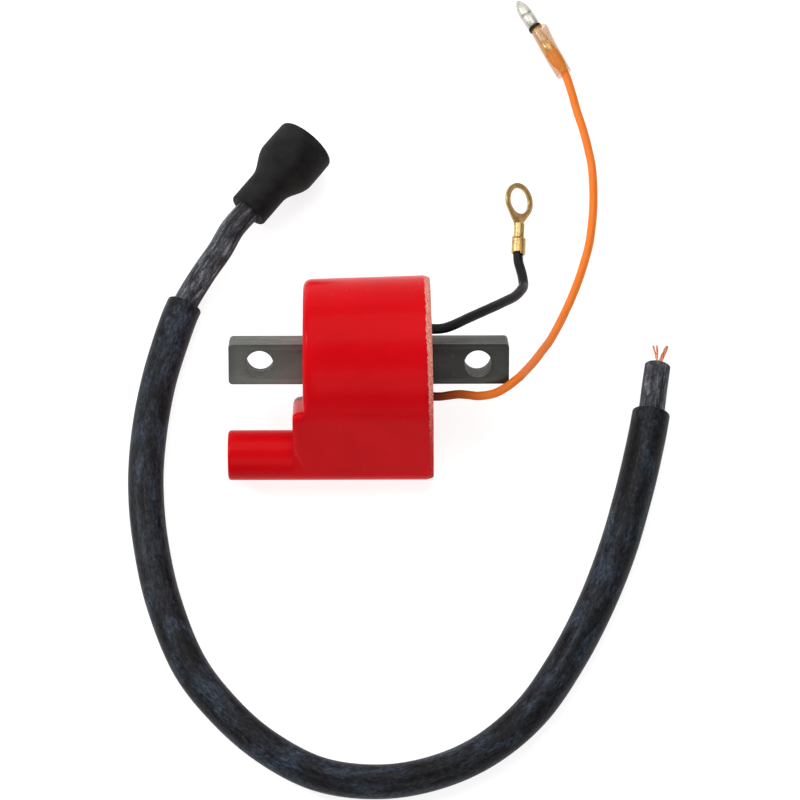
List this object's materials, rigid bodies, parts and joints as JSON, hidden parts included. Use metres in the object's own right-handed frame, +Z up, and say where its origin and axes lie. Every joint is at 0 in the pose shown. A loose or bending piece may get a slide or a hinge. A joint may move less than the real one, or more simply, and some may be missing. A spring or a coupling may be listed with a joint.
{
  "type": "ignition coil",
  "caption": "Potted ignition coil on a laminated bar with mounting holes, with ring and bullet terminal wires and a loose sleeved high-tension lead with plug boot.",
  "frame": {"origin": "centre of the coil's footprint, on the surface it rests on", "axes": "+X along the core bar away from the high-tension tower, +Y away from the tower side across the surface, +Z up"},
  "size_m": [0.1518, 0.2432, 0.0456],
  "materials": {
    "red_plastic": "gloss",
    "sanded_resin": "sanded",
    "core_steel": "oiled",
    "wrap_paper": "matte",
    "bobbin_plastic": "satin",
    "copper": "bright",
    "brass": "bright",
    "tinned_brass": "tinned",
    "clear_vinyl": "translucent",
    "black_wire": "satin",
    "orange_wire": "satin",
    "lead_rubber": "chalky",
    "sleeve_rubber": "satin",
    "boot_rubber": "matte"
  },
  "bodies": {
    "coil": {"housing": "red_plastic", "potting_resin": "sanded_resin", "core_laminations": "core_steel", "core_wrap": "wrap_paper", "primary_bobbin": "bobbin_plastic", "primary_winding": "copper", "interlayer_tape": "wrap_paper", "secondary_bobbin": "bobbin_plastic", "secondary_winding": "copper", "outer_wrap": "wrap_paper", "ht_contact": "brass", "ht_leadout": "copper", "ground_splice": "tinned_brass", "primary_splice": "tinned_brass", "ground_conductor": "copper", "primary_conductor": "copper", "ground_wire": "black_wire", "primary_wire": "orange_wire", "ring_terminal": "brass", "bullet_terminal": "tinned_brass", "ht_lead": "lead_rubber", "lead_sleeve": "sleeve_rubber", "core_strands": "copper", "plug_clip": "brass"},
    "boot": {"rubber_boot": "boot_rubber"},
    "clear_sleeve": {"bullet_sleeve": "clear_vinyl"}
  },
  "joints": [
    {"name": "boot_slide", "type": "slide", "parent": "coil", "child": "boot", "axis": [-0.6157, -0.788, 0], "range_m": [0, 0.005]},
    {"name": "bullet_sleeve_slide", "type": "slide", "parent": "coil", "child": "clear_sleeve", "axis": [0.4924, -0.8704, 0], "range_m": [0, 0.002]}
  ]
}
